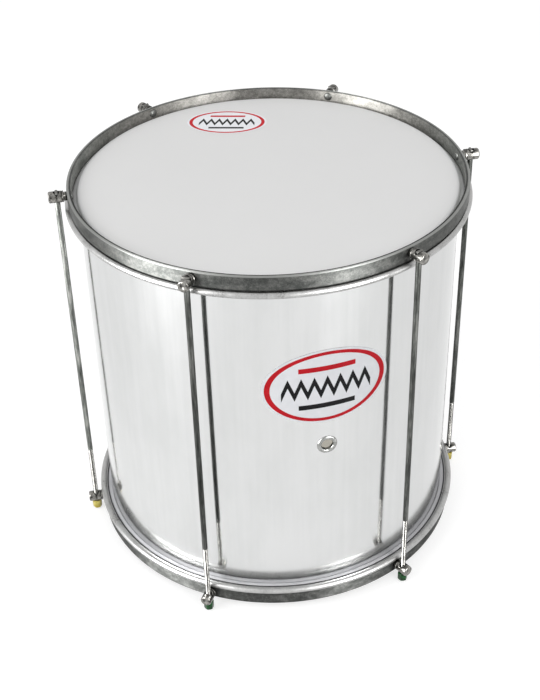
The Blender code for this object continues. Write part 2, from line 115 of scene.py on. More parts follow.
ROD_HEAD_LENGTH = 0.0078
NUT_FLATS = 0.0100
VENT_AZIMUTH = AZIMUTHS["front_left"] + math.radians(36.0)
VENT_BORE_RADIUS = 0.00625
EYELET_RADIUS = 0.0109
EYELET_HEIGHT = 0.0013
LABEL_WIDTH = 0.1360
PRINT_LIFT = 0.00006

WORLD_LIGHT = 0.63
FLOOR_GLOW = 0.68

RING_SIDES = 256
STUD_SIDES = 48
SMOOTH = math.radians(38.0)


# Mesh helpers


def arc(x, z, radius, start, end, steps):
    angles = [math.radians(start + (end - start) * i / steps) for i in range(steps + 1)]
    return [(x + radius * math.cos(a), z + radius * math.sin(a)) for a in angles]


def rounded(points, radius, steps=3, closed=True):
    """Rounds every corner of an outline with an arc-like bend."""
    out = []
    count = len(points)
    for i, point in enumerate(points):
        here = Vector(point)
        if not closed and i in (0, count - 1):
            out.append(tuple(here))
            continue
        before = Vector(points[i - 1]) - here
        after = Vector(points[(i + 1) % count]) - here
        cut = min(radius, before.length * 0.45, after.length * 0.45)
        start = here + before.normalized() * cut
        end = here + after.normalized() * cut
        for k in range(steps + 1):
            t = k / steps
            out.append(tuple(start * (1 - t) ** 2 + here * 2 * t * (1 - t) + end * t**2))
    return out


def mesh_from(name, points, faces):
    mesh = bpy.data.meshes.new(name)
    mesh.from_pydata(points, [], faces)
    mesh.update()
    return mesh


def revolved(name, profile, sides, closed=True):
    """Turns an (x, z) profile, listed down its outer side, about Z."""
    points = []
    rows = []
    for x, z in profile:
        if x < 1e-7:
            rows.append([len(points)] * sides)
            points.append((0.0, 0.0, z))
            continue
        rows.append(list(range(len(points), len(points) + sides)))
        for j in range(sides):
            a = 2 * math.pi * j / sides
            points.append((x * math.cos(a), x * math.sin(a), z))
    faces = []
    last = len(rows) if closed else len(rows) - 1
    for i in range(last):
        upper, lower = rows[i], rows[(i + 1) % len(rows)]
        for j in range(sides):
            k = (j + 1) % sides
            corners = [upper[j], lower[j], lower[k], upper[k]]
            face = [c for n, c in enumerate(corners) if c not in corners[:n]]
            if len(face) > 2:
                faces.append(face)
    return mesh_from(name, points, faces)


def extruded(name, outline, thickness):
    """A flat outline in XY, centred on z = 0, with straight sides."""
    half = thickness / 2
    count = len(outline)
    points = [(x, y, -half) for x, y in outline] + [(x, y, half) for x, y in outline]
    faces = [list(range(count))[::-1], list(range(count, 2 * count))]
    for i in range(count):
        k = (i + 1) % count
        faces.append([i, k, count + k, count + i])
    return mesh_from(name, points, faces)


def put(name, mesh, material, body, replaces=(), place=None):
    """Makes a piece that rides on a body and stands for the nodes named."""
    piece = bpy.data.objects.new(name, mesh)
    bpy.context.scene.collection.objects.link(piece)
    if place is not None:
        piece.matrix_world = place
    if not mesh.materials:
        mesh.materials.append(material)
    mesh.shade_smooth()
    mesh.set_sharp_from_angle(angle=SMOOTH)
    bpy.context.view_layer.update()
    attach(piece, body)
    if replaces:
        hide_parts(*replaces)
    return piece


def combined(name, base, steps, bevel=0.0):
    """The base mesh after Booleans with other meshes, its new edges broken by a small bevel."""
    made = []
    piece = bpy.data.objects.new(name, base)
    bpy.context.scene.collection.objects.link(piece)
    for operation, mesh in steps:
        other = bpy.data.objects.new(name + "_tool", mesh)
        bpy.context.scene.collection.objects.link(other)
        made.append(other)
        boolean = piece.modifiers.new("shape", "BOOLEAN")
        boolean.operation = operation
        boolean.solver = "EXACT"
        boolean.object = other
    if bevel:
        edges = piece.modifiers.new("edges", "BEVEL")
        edges.width = bevel
        edges.segments = 2
        edges.limit_method = "ANGLE"
        edges.angle_limit = math.radians(40)
        edges.use_clamp_overlap = True
    bpy.context.view_layer.update()
    graph = bpy.context.evaluated_depsgraph_get()
    mesh = bpy.data.meshes.new_from_object(piece.evaluated_get(graph))
    for used in [piece, *made]:
        bpy.data.objects.remove(used, do_unlink=True)
    return mesh


def outward(azimuth, radius, z):
    """A frame at this place, its local Z pointing away from the drum's axis."""
    place = Matrix.Translation((radius * math.cos(azimuth), radius * math.sin(azimuth), z))
    return place @ Matrix.Rotation(azimuth, 4, "Z") @ Matrix.Rotation(math.pi / 2, 4, "Y")


def turned_to(azimuth, radius, z):
    """A frame at this place, its local X pointing away from the drum's axis and Z up."""
    place = Matrix.Translation((radius * math.cos(azimuth), radius * math.sin(azimuth), z))
    return place @ Matrix.Rotation(azimuth, 4, "Z")


# Material helpers


class Nodes:
    """A Principled material and short ways to add nodes to it."""

    def __init__(self, name, colour, metallic, roughness):
        self.material = bpy.data.materials.new(name)
        self.material.use_nodes = True
        self.tree = self.material.node_tree
        self.shader = self.tree.nodes["Principled BSDF"]
        self.shader.inputs["Base Color"].default_value = (*colour, 1.0)
        self.shader.inputs["Metallic"].default_value = metallic
        self.shader.inputs["Roughness"].default_value = roughness
        self.material.diffuse_color = (*colour, 1.0)

    def add(self, kind, **values):
        node = self.tree.nodes.new(kind)
        for key, value in values.items():
            setattr(node, key, value)
        return node

    def link(self, source, target):
        self.tree.links.new(source, target)

    def position(self, scale=(1.0, 1.0, 1.0), turn=(0.0, 0.0, 0.0)):
        coordinates = self.add("ShaderNodeTexCoord")
        mapping = self.add("ShaderNodeMapping")
        mapping.inputs["Scale"].default_value = scale
        mapping.inputs["Rotation"].default_value = turn
        self.link(coordinates.outputs["Object"], mapping.inputs["Vector"])
        return mapping.outputs["Vector"]

    def noise(self, vector, scale, detail=4.0, roughness=0.55, distortion=0.0):
        noise = self.add("ShaderNodeTexNoise")
        noise.inputs["Scale"].default_value = scale
        noise.inputs["Detail"].default_value = detail
        noise.inputs["Roughness"].default_value = roughness
        noise.inputs["Distortion"].default_value = distortion
        self.link(vector, noise.inputs["Vector"])
        return noise.outputs["Fac"]

    def radius(self):
        """The distance from the object's own Z axis, and the height along it."""
        coordinates = self.add("ShaderNodeTexCoord")
        parts = self.add("ShaderNodeSeparateXYZ")
        self.link(coordinates.outputs["Object"], parts.inputs["Vector"])
        x, y, z = (parts.outputs[axis] for axis in "XYZ")
        square = self.math("ADD", self.math("MULTIPLY", x, x), self.math("MULTIPLY", y, y))
        return self.math("POWER", square, 0.5), z

    def along_y(self):
        """The place along the object's own Y axis."""
        coordinates = self.add("ShaderNodeTexCoord")
        parts = self.add("ShaderNodeSeparateXYZ")
        self.link(coordinates.outputs["Object"], parts.inputs["Vector"])
        return parts.outputs["Y"]

    def mix(self, factor, first, second):
        node = self.add("ShaderNodeMix", data_type="RGBA")
        self.link(factor, node.inputs["Factor"])
        for socket, value in ((node.inputs[6], first), (node.inputs[7], second)):
            if isinstance(value, tuple):
                socket.default_value = (*value, 1.0)
            else:
                self.link(value, socket)
        return node.outputs[2]

    def remap(self, value, low, high, to_low, to_high):
        node = self.add("ShaderNodeMapRange")
        node.inputs["From Min"].default_value = low
        node.inputs["From Max"].default_value = high
        node.inputs["To Min"].default_value = to_low
        node.inputs["To Max"].default_value = to_high
        self.link(value, node.inputs["Value"])
        return node.outputs["Result"]

    def math(self, operation, first, second):
        node = self.add("ShaderNodeMath", operation=operation)
        for socket, value in zip(node.inputs, (first, second)):
            if isinstance(value, (int, float)):
                socket.default_value = value
            else:
                self.link(value, socket)
        return node.outputs["Value"]

    def ramp(self, value, stops):
        node = self.add("ShaderNodeValToRGB")
        elements = node.color_ramp.elements
        while len(elements) < len(stops):
            elements.new(0.5)
        for element, (place, colour) in zip(elements, stops):
            element.position = place
            element.color = (*colour, 1.0)
        self.link(value, node.inputs["Fac"])
        return node.outputs["Color"]

    def colour(self, value):
        self.link(value, self.shader.inputs["Base Color"])

    def roughness(self, value):
        self.link(value, self.shader.inputs["Roughness"])

    def bump(self, value, strength, distance):
        node = self.add("ShaderNodeBump")
        node.inputs["Strength"].default_value = strength
        node.inputs["Distance"].default_value = distance
        self.link(value, node.inputs["Height"])
        self.link(node.outputs["Normal"], self.shader.inputs["Normal"])

    def along_ring(self, anisotropy):
        """Stretches gloss across the grain that runs round the drum."""
        tangent = self.add("ShaderNodeTangent", direction_type="RADIAL", axis="Z")
        self.link(tangent.outputs["Tangent"], self.shader.inputs["Tangent"])
        self.shader.inputs["Anisotropic"].default_value = anisotropy
        self.shader.inputs["Anisotropic Rotation"].default_value = 0.25


def shell_metal():
    """Bright rolled aluminium sheet, its grain round the drum, with faint streaks and soft smears."""
    n = Nodes("shell_aluminium", (0.62, 0.625, 0.628), 1.0, 0.15)
    streaks = n.noise(n.position((1.0, 1.0, 0.03)), 130.0, 5.0, 0.6)
    smears = n.noise(n.position((1.0, 1.0, 0.5)), 16.0, 5.0, 0.6)
    tone = n.math("ADD", n.math("MULTIPLY", smears, 0.65), n.math("MULTIPLY", streaks, 0.35))
    n.colour(n.ramp(tone, [(0.38, (0.585, 0.592, 0.589)), (0.60, (0.628, 0.632, 0.631))]))
    _, z = n.radius()
    foot = n.remap(z, SHELL_LOW + 0.025, SHELL_LOW + 0.050, 0.015, 0.0)
    gloss = n.math("ADD", n.remap(streaks, 0.3, 0.7, 0.085, 0.12), n.remap(smears, 0.3, 0.7, 0.0, 0.03))
    n.roughness(n.math("ADD", gloss, foot))
    n.bump(streaks, 0.04, 0.0003)
    n.along_ring(0.8)
    return n.material


def zinc():
    """Galvanised bar: soft clouds and fine grain, gloss drawn across it, a painted highlight on its top.

    The inner edge of the bar's top is painted dark as shade all round, most at the front, the
    rest of the top carries the painted highlight, and the outer face has painted shade along
    its edges. The side towards the head is painted lighter as if lit, warm at the back, and
    the lower hoop is painted darker as shade and made a little rougher.
    """
    n = Nodes("hoop_zinc", (0.22, 0.23, 0.22), 1.0, 0.48)
    place = n.position()
    cloud = n.noise(place, 260.0, 5.0, 0.62)
    wide = n.noise(n.position((1.0, 1.0, 2.0)), 55.0, 4.0)
    fine = n.noise(place, 900.0, 3.0, 0.6)
    blend = n.math("ADD", n.math("MULTIPLY", cloud, 0.35), n.math("MULTIPLY", wide, 0.35))
    blend = n.math("ADD", blend, n.math("MULTIPLY", fine, 0.3))
    face = n.ramp(blend, [(0.40, (0.060, 0.064, 0.060)), (0.50, (0.110, 0.113, 0.108)), (0.60, (0.182, 0.184, 0.175))])
    r, z = n.radius()
    # Painted highlight on the outer part of the bar's top (outer), and painted shade along its inner edge, strongest at
    # the front (inner).
    crown = n.remap(z, TOP_HOOP_TOP - 0.0012, TOP_HOOP_TOP - 0.0006, 0.0, 1.0)
    inner = n.math("MULTIPLY", crown, n.remap(r, HOOP_INNER + 0.0016, HOOP_INNER + 0.0020, 1.0, 0.0))
    inner = n.math("MULTIPLY", inner, n.remap(n.along_y(), -0.06, 0.02, 1.0, 0.2))
    outer = n.math("MULTIPLY", crown, n.remap(r, HOOP_INNER + 0.0020, HOOP_INNER + 0.0026, 0.0, 1.0))
    # Painted light: the bar's inner face is a lighter copy of the face, warmer at the back.
    lit_inner_face = n.remap(r, HOOP_INNER + 0.0003, HOOP_INNER + 0.0009, 1.0, 0.0)
    cool = n.ramp(blend, [(0.40, (0.137, 0.144, 0.133)), (0.50, (0.238, 0.245, 0.230)), (0.60, (0.353, 0.360, 0.338))])
    warm = n.ramp(blend, [(0.40, (0.160, 0.156, 0.144)), (0.50, (0.272, 0.266, 0.248)), (0.60, (0.400, 0.390, 0.364))])
    # Painted shade: the lower hoop takes a darker copy of the face.
    low = n.remap(z, BOTTOM_HOOP_TOP, BOTTOM_HOOP_TOP + 0.001, 1.0, 0.0)
    painted_shade = n.ramp(blend, [(0.40, (0.040, 0.042, 0.040)), (0.50, (0.075, 0.077, 0.074)), (0.60, (0.150, 0.152, 0.146))])
    with_lit_inner_face = n.mix(lit_inner_face, face, n.mix(n.remap(n.along_y(), 0.05, 0.15, 0.0, 1.0), cool, warm))
    side = n.mix(low, with_lit_inner_face, painted_shade)
    # Painted shade: dark lines along the outer face's edges, under the upper hoop, along the top of the lower hoop and
    # at its foot.
    under = n.math("SUBTRACT", n.remap(z, TOP_HOOP_LOW + 0.0010, TOP_HOOP_LOW + 0.0018, 1.0, 0.0), low)
    sill = n.math("MULTIPLY", low, n.remap(z, BOTTOM_HOOP_TOP - 0.0018, BOTTOM_HOOP_TOP - 0.0010, 0.0, 1.0))
    foot = n.remap(z, BOTTOM_HOOP_LOW + 0.0010, BOTTOM_HOOP_LOW + 0.0018, 1.0, 0.0)
    edges = n.math("MULTIPLY", n.math("ADD", n.math("ADD", under, sill), foot), 0.9)
    side = n.mix(edges, side, (0.02, 0.021, 0.02))
    n.colour(n.mix(outer, n.mix(inner, side, (0.012, 0.013, 0.012)), (0.33, 0.336, 0.324)))
    n.roughness(n.math("ADD", n.remap(cloud, 0.3, 0.7, 0.46, 0.58), n.math("MULTIPLY", low, 0.04)))
    n.bump(n.math("ADD", fine, n.math("MULTIPLY", cloud, 0.6)), 1.0, 0.00012)
    n.along_ring(0.9)
    return n.material


def channel_metal():
    """The flesh hoops' bright aluminium: pitted bead, satin lip and painted shade down in the crimp groove."""
    n = Nodes("flesh_hoop_aluminium", (0.84, 0.84, 0.83), 1.0, 0.40)
    pits = n.noise(n.position(), 620.0, 4.0, 0.6)
    wide = n.noise(n.position(), 60.0, 4.0)
    metal = n.ramp(n.math("ADD", n.math("MULTIPLY", wide, 0.4), n.math("MULTIPLY", pits, 0.6)),
                   [(0.36, (0.26, 0.26, 0.255)), (0.46, (0.375, 0.375, 0.37)), (0.60, (0.44, 0.44, 0.435))])
    r, _ = n.radius()
    # Painted shade: the crimp groove is darkened where shade falls in it.
    groove = n.math("MULTIPLY", n.remap(r, GROOVE_INNER - 0.0001, GROOVE_INNER + 0.0002, 0.0, 1.0),
                    n.remap(r, GROOVE_OUTER - 0.0002, GROOVE_OUTER + 0.0001, 1.0, 0.0))
    lip = n.remap(r, GROOVE_INNER - 0.0002, GROOVE_INNER, 1.0, 0.0)
    metal = n.mix(lip, metal, (0.42, 0.42, 0.433))
    n.colour(n.mix(groove, metal, (0.06, 0.06, 0.065)))
    n.roughness(n.math("ADD", n.remap(wide, 0.3, 0.7, 0.26, 0.36), n.math("MULTIPLY", lip, 0.25)))
    n.bump(pits, 1.0, 0.00012)
    return n.material


def milky_film():
    """Milky polyester: faint clouds in the colour and a soft satin surface."""
    n = Nodes("head_film", (0.766, 0.769, 0.774), 0.0, 0.42)
    cloud = n.noise(n.position(), 9.0, 4.0)
    n.colour(n.ramp(cloud, [(0.25, (0.722, 0.725, 0.730)), (0.75, (0.745, 0.748, 0.753))]))
    fine = n.noise(n.position(), 900.0, 2.0)
    n.roughness(n.remap(cloud, 0.3, 0.7, 0.38, 0.46))
    n.bump(fine, 0.05, 0.0001)
    n.shader.inputs["Transmission Weight"].default_value = 0.10
    return n.material


def painted_glow_film():
    """The film's inner side: a painted glow that stands in for the light that falls on the head from outside and passes
    through it.
    """
    n = Nodes("head_film_inside", (0.82, 0.80, 0.75), 0.0, 0.5)
    n.roughness(n.remap(n.noise(n.position(), 60.0, 3.0), 0.3, 0.7, 0.45, 0.55))
    # Painted glow: the inner side emits light though it is no lamp.
    n.shader.inputs["Emission Color"].default_value = (1.0, 0.96, 0.86, 1.0)
    n.shader.inputs["Emission Strength"].default_value = FILM_GLOW
    return n.material


def stud_metal():
    """Turned steel, smooth and half bright, with painted shade in the notch and round the neck, and dull zinc on the
    rivet head.
    """
    n = Nodes("stud_steel", (0.30, 0.295, 0.28), 1.0, 0.2)
    cloud = n.noise(n.position(), 260.0, 4.0, 0.55)
    lines = n.noise(n.position((1.0, 0.15, 0.15)), 2600.0, 2.0)
    metal = n.ramp(cloud, [(0.36, (0.045, 0.044, 0.041)), (0.46, (0.155, 0.151, 0.141)), (0.62, (0.31, 0.303, 0.284))])
    coordinates = n.add("ShaderNodeTexCoord")
    parts = n.add("ShaderNodeSeparateXYZ")
    n.link(coordinates.outputs["Object"], parts.inputs["Vector"])
    x, z = parts.outputs["X"], parts.outputs["Z"]
    # Painted shade: the notch's walls and the neck by the hoop are darkened where shade falls.
    aside = n.math("ABSOLUTE", n.math("SUBTRACT", x, ROD_CIRCLE - HOOP_OUTER), 0.0)
    depth = n.math("SUBTRACT", aside, n.math("SUBTRACT", z, STUD_RADIUS - NOTCH_DEPTH))
    notch = n.remap(depth, 0.0001, 0.0004, 1.0, 0.0)
    neck = n.remap(x, 0.0006, 0.0016, 1.0, 0.0)
    rivet = n.remap(x, HOOP_INNER - HOOP_OUTER, HOOP_INNER - HOOP_OUTER + 0.0002, 1.0, 0.0)
    painted_shade = n.mix(n.math("MAXIMUM", notch, neck), metal, (0.02, 0.02, 0.019))
    n.colour(n.mix(rivet, painted_shade, (0.13, 0.133, 0.127)))
    n.roughness(n.math("ADD", n.remap(cloud, 0.3, 0.7, 0.28, 0.14), n.math("MULTIPLY", rivet, 0.25)))
    n.bump(n.math("ADD", cloud, n.math("MULTIPLY", lines, 0.4)), 0.2, 0.0001)
    return n.material


def rod_metal(name, painted_light_level):
    """Drawn rod under dull dark zinc: blotches that run along the rod, a painted highlight on the head's crown, and the
    whole rod painted lighter or darker as set by the level given.
    """
    # The level given scales all the rod's colours: painted light above 1, painted shade below 1.
    n = Nodes(name, (0.10 * painted_light_level, 0.105 * painted_light_level, 0.10 * painted_light_level), 1.0, 0.42)
    blotch = n.noise(n.position((1.0, 1.0, 0.12)), 210.0, 6.0, 0.7)
    fine = n.noise(n.position((1.0, 1.0, 0.4)), 900.0, 3.0)
    stops = [(0.36, (0.03, 0.032, 0.03)), (0.50, (0.10, 0.105, 0.098)), (0.66, (0.27, 0.275, 0.26))]
    stops = [(place, tuple(c * painted_light_level for c in colour)) for place, colour in stops]
    _, z = n.radius()
    # Painted highlight: the crown of the rod's head is lighter.
    crown = n.remap(z, ROD_HEAD_TOP - 0.0014, ROD_HEAD_TOP - 0.0006, 0.0, 1.0)
    n.colour(n.mix(crown, n.ramp(blotch, stops), (0.16, 0.157, 0.148)))
    n.roughness(n.remap(blotch, 0.3, 0.7, 0.50, 0.32))
    n.bump(n.math("ADD", blotch, n.math("MULTIPLY", fine, 0.4)), 0.5, 0.0002)
    return n.material


def thread_metal():
    """The rod's rolled thread, bright where nut and thread have rubbed."""
    n = Nodes("thread_steel", (0.13, 0.128, 0.12), 1.0, 0.26)
    cloud = n.noise(n.position((1.0, 1.0, 0.4)), 300.0, 4.0)
    n.colour(n.ramp(cloud, [(0.3, (0.08, 0.078, 0.074)), (0.7, (0.26, 0.256, 0.243))]))
    n.roughness(n.remap(cloud, 0.3, 0.7, 0.32, 0.18))
    return n.material


def paint(name, dark, light):
    """Gloss paint over metal, thin in places."""
    n = Nodes(name, light, 0.0, 0.25)
    cloud = n.noise(n.position(), 300.0, 3.0)
    n.colour(n.ramp(cloud, [(0.35, dark), (0.65, light)]))
    n.roughness(n.remap(cloud, 0.3, 0.7, 0.14, 0.24))
    n.bump(cloud, 0.10, 0.0001)
    n.shader.inputs["Specular IOR Level"].default_value = 0.2
    n.shader.inputs["Coat Weight"].default_value = 0.12
    n.shader.inputs["Coat Roughness"].default_value = 0.04
    return n.material


def plate():
    n = Nodes("eyelet_nickel", (0.42, 0.425, 0.41), 1.0, 0.28)
    cloud = n.noise(n.position(), 300.0, 4.0)
    n.colour(n.ramp(cloud, [(0.3, (0.22, 0.223, 0.216)), (0.7, (0.38, 0.384, 0.373))]))
    n.roughness(n.remap(cloud, 0.3, 0.7, 0.20, 0.34))
    n.bump(cloud, 0.1, 0.0001)
    return n.material


def ink(name, dark, light):
    """Printed vinyl: a fine orange-peel bump and barely uneven ink."""
    n = Nodes(name, light, 0.0, 0.38)
    cloud = n.noise(n.position(), 120.0, 3.0)
    n.colour(n.ramp(cloud, [(0.3, dark), (0.7, light)]))
    n.roughness(n.remap(cloud, 0.3, 0.7, 0.34, 0.44))
    n.bump(n.noise(n.position(), 1500.0, 2.0), 0.05, 0.00005)
    n.shader.inputs["Specular IOR Level"].default_value = 0.1
    return n.material


# The drum's turned pieces


def make_shell(material):
    r = SHELL_RADIUS
    inner = r - SHELL_WALL
    bend = r - SHELL_EDGE_RADIUS
    lip = bend - SHELL_LIP
    hem = SHELL_EDGE_RADIUS - SHELL_WALL
    top = SHELL_TOP - SHELL_EDGE_RADIUS
    low = SHELL_LOW + SHELL_EDGE_RADIUS
    profile = [(lip, SHELL_TOP)] + arc(bend, top, SHELL_EDGE_RADIUS, 90, 0, 6)
    profile += arc(bend, low, SHELL_EDGE_RADIUS, 0, -90, 6) + [(lip, SHELL_LOW), (lip, SHELL_LOW + SHELL_WALL)]
    profile += arc(bend, low, hem, -90, 0, 4) + arc(bend, top, hem, 0, 90, 4)
    profile += [(lip, SHELL_TOP - SHELL_WALL)]
    hole = revolved("vent_tool", [(0, 0.01), (0.0074, 0.01), (0.0074, -0.01), (0, -0.01)], STUD_SIDES, False)
    hole.transform(outward(VENT_AZIMUTH, inner, EYELET_Z))
    mesh = combined("drum_shell", revolved("drum_shell", profile, RING_SIDES), [("DIFFERENCE", hole)])
    put("drum_shell", mesh, material, "drum", ["shell"])


def placed(profile, z, upside_down):
    if upside_down:
        return [(x, z - h) for x, h in reversed(profile)]
    return [(x, z + h) for x, h in profile]


def collar_line(drop):
    """The slant of a head's film: its start, its direction and the middle of the hoop's bead."""
    middle = Vector((FLESH_OUTER - BEAD_RADIUS, -BEAD_RADIUS))
    edge = drop - FILM_THICKNESS - FILM_GAP - SHELL_EDGE_RADIUS
    start = Vector((SHELL_RADIUS + FILM_GAP + FILM_THICKNESS / 2, edge - FILM_FALL))
    return start, (middle - start).normalized(), middle


def banded(line, thickness):
    """The outline of a strip that follows an open line, down its outer side and back."""
    points = [Vector(p) for p in line]
    outer, inner = [], []
    for i, point in enumerate(points):
        along = points[min(i + 1, len(points) - 1)] - points[max(i - 1, 0)]
        side = Vector((-along.y, along.x)).normalized() * thickness / 2
        outer.append(tuple(point + side))
        inner.append(tuple(point - side))
    return outer + inner[::-1]


def make_head(name, node, z, drop, upside_down, material, inside):
    """The film: flat, round the shell's edge, then slanting out into the flesh hoop."""
    start, slant, middle = collar_line(drop)
    rim = SHELL_RADIUS - SHELL_EDGE_RADIUS
    half = FILM_THICKNESS / 2
    line = [(rim * i / 12, drop - half) for i in range(12)] + [(rim - 0.0015, drop - half)]
    line += arc(rim, start.y + FILM_FALL, SHELL_EDGE_RADIUS + FILM_GAP + half, 90, 0, 8)
    end = middle - slant * (BEAD_RADIUS - FILM_TUCK)
    shoulder = start + Vector((COLLAR_WIDTH, -COLLAR_WIDTH * math.tan(COLLAR_SLOPE)))
    line += rounded([line[-1], tuple(start), tuple(shoulder), tuple(end)], 0.0012, 5, False)[1:]
    mesh = revolved(name, placed(banded(line, FILM_THICKNESS), z, upside_down), RING_SIDES, False)
    mesh.materials.append(material)
    mesh.materials.append(inside)
    turn = -1.0 if upside_down else 1.0
    # Faces on the film's inner side take the second material, which carries the painted glow.
    for face in mesh.polygons:
        within = math.hypot(face.center.x, face.center.y) < rim - 0.0015
        if within and (face.center.z - z) * turn < drop - half:
            face.material_index = 1
    put(name, mesh, material, "drum", [node])


def make_flesh_hoop(name, node, z, drop, upside_down, material):
    """A round bead slit for the film, with a lip and a crimp groove inside it."""
    _, slant, middle = collar_line(drop)
    side = Vector((-slant.y, slant.x))
    slit = FILM_THICKNESS / 2 + 0.0001
    floor = middle - slant * (BEAD_RADIUS - FILM_TUCK - 0.0002)
    slit_at = math.degrees(math.atan2(-slant.y, -slant.x))
    spread = math.degrees(math.asin(slit / BEAD_RADIUS))
    low_end = -180 - math.degrees(math.asin(LIP_LOW / BEAD_RADIUS))
    top_end = 180 - math.degrees(math.asin(LIP_TOP / BEAD_RADIUS))
    bead = arc(middle.x, middle.y, BEAD_RADIUS, slit_at - spread, low_end, 32)
    crown = arc(middle.x, middle.y, BEAD_RADIUS, top_end, slit_at + spread, 3)
    lip = [(GROOVE_OUTER, LIP_LOW), (GROOVE_OUTER, GROOVE_TOP), (GROOVE_INNER, GROOVE_TOP)]
    lip += [(GROOVE_INNER, LIP_LOW), (FLESH_INNER, LIP_LOW), (FLESH_INNER, LIP_TOP)]
    lip = [bead[-1]] + [(x, middle.y + h) for x, h in lip] + [crown[0]]
    profile = bead[:-1] + rounded(lip, 0.0003, 3, False) + crown[1:]
    profile += [tuple(floor - side * slit), tuple(floor + side * slit)]
    mesh = revolved(name, placed(profile, z, upside_down), RING_SIDES)
    put(name, mesh, material, "drum", [node])


def make_hoop(name, node, top, low, stud_z, body, material):
    """Flat bar bent into a ring, with broken edges and a hole for each stud."""
    corners = [(HOOP_INNER, top), (HOOP_OUTER, top), (HOOP_OUTER, low), (HOOP_INNER, low)]
    bar = revolved(name, rounded(corners, HOOP_EDGE, 5), RING_SIDES)
    radius = STUD_SHANK_RADIUS + 0.0002
    steps = []
    for azimuth in AZIMUTHS.values():
        hole = revolved("stud_tool", [(0, 0.01), (radius, 0.01), (radius, -0.01), (0, -0.01)], 24, False)
        hole.transform(outward(azimuth, (HOOP_INNER + HOOP_OUTER) / 2, stud_z))
        steps.append(("DIFFERENCE", hole))
    put(name, combined(name, bar, steps), material, body, [node])


# Studs, rods and nuts


def stud_mesh():
    """One stud along local X, with x = 0 at the hoop's outer face."""
    length = STUD_END - HOOP_OUTER
    grip = HOOP_OUTER - HOOP_INNER
    neck = STUD_NECK_RADIUS
    profile = [(0.0, length - 0.0003), (0.0006, length - 0.0003), (0.0010, length)]
    profile += arc(STUD_RADIUS - 0.0016, length - 0.0016, 0.0016, 90, 0, 6)
    profile += [(STUD_RADIUS, STUD_NECK_LENGTH + 0.0022), (STUD_RADIUS - 0.0004, STUD_NECK_LENGTH + 0.0019)]
    profile += [(STUD_RADIUS - 0.0004, STUD_NECK_LENGTH + 0.0014), (STUD_RADIUS, STUD_NECK_LENGTH + 0.0011)]
    profile += [(STUD_RADIUS, STUD_NECK_LENGTH + 0.0003), (STUD_RADIUS - 0.0003, STUD_NECK_LENGTH)]
    profile += [(neck, STUD_NECK_LENGTH), (neck, 0.0002), (neck - 0.0002, 0.00005)]
    profile += [(STUD_SHANK_RADIUS, 0.00005), (STUD_SHANK_RADIUS, -grip - 0.00005)]
    profile += [(RIVET_RADIUS - 0.0002, -grip - 0.00005)]
    dome = [(RIVET_RADIUS * math.cos(math.radians(a)), -grip - 0.0002 - RIVET_HEIGHT * math.sin(math.radians(a)))
            for a in range(0, 91, 15)]
    profile += dome[:-1] + [(0.0, -grip - 0.0002 - RIVET_HEIGHT)]
    body = revolved("stud", profile, STUD_SIDES, False)
    body.transform(Matrix.Rotation(math.pi / 2, 4, "Y"))
    rod_x = ROD_CIRCLE - HOOP_OUTER
    hole = revolved("rod_tool", [(0, 0.01), (ROD_HOLE_RADIUS, 0.01), (ROD_HOLE_RADIUS, -0.01), (0, -0.01)], 32, False)
    hole.transform(Matrix.Translation((rod_x, 0.0, 0.0)))
    side = NOTCH_DEPTH + 0.002
    floor = STUD_RADIUS - NOTCH_DEPTH
    notch = extruded("notch_tool", [(0.0, floor), (side, floor + side), (-side, floor + side)], 0.016)
    notch.transform(Matrix.Translation((rod_x, 0.0, 0.0)) @ Matrix.Rotation(math.pi / 2, 4, "X"))
    return combined("stud", body, [("DIFFERENCE", hole), ("DIFFERENCE", notch)], 0.00018)


def shaft_mesh():
    """The rod's plain length with the wedge head that lies in the notch, local Z up from the tip."""
    floor = TOP_STUD_Z + STUD_RADIUS - NOTCH_DEPTH + 0.0004
    half = ROD_HEAD_WIDTH / 2
    crown = ROD_HEAD_TOP - floor - half
    radius = (half**2 + crown**2) / (2 * crown)
    spread = math.degrees(math.asin(half / radius))
    outline = [(0.0, floor)] + arc(0.0, ROD_HEAD_TOP - radius, radius, 90 - spread, 90 + spread, 8)
    head = extruded("rod_head", outline, ROD_HEAD_LENGTH)
    head.transform(Matrix.Rotation(math.pi / 2, 4, "X"))
    start = THREAD_LENGTH
    profile = [(0.0, floor + half), (ROD_RADIUS * 0.5, floor + half), (ROD_RADIUS * 0.5, floor + 0.0014)]
    profile += [(ROD_RADIUS, floor), (ROD_RADIUS, start + 0.0006), (THREAD_RADIUS, start)]
    profile += [(THREAD_ROOT, start - 0.0002), (0.0, start - 0.0002)]
    body = revolved("rod_shaft", profile, 32, False)
    return combined("rod_shaft", body, [("UNION", head)], 0.0003)


def thread_mesh(length, crest, root, tip):
    """A right-hand screw thread round Z, from z = 0 up, drawn in at its tip."""
    sides = 28
    rise = THREAD_PITCH / 4
    rows = int(length / rise) + 1
    points = []
    for i in range(rows):
        z = min(i * rise, length)
        fade = min(1.0, z / tip) if tip else 1.0
        for j in range(sides):
            a = 2 * math.pi * j / sides
            wave = abs(2 * ((z / THREAD_PITCH - j / sides) % 1.0) - 1.0)
            r = root + (crest - root) * wave * fade - (1.0 - fade) * 0.0003
            points.append((r * math.cos(a), r * math.sin(a), z))
    faces = [list(range(sides))[::-1], list(range((rows - 1) * sides, rows * sides))]
    for i in range(rows - 1):
        for j in range(sides):
            k = (j + 1) % sides
            faces.append([i * sides + j, i * sides + k, (i + 1) * sides + k, (i + 1) * sides + j])
    return mesh_from("rod_thread", points, faces)


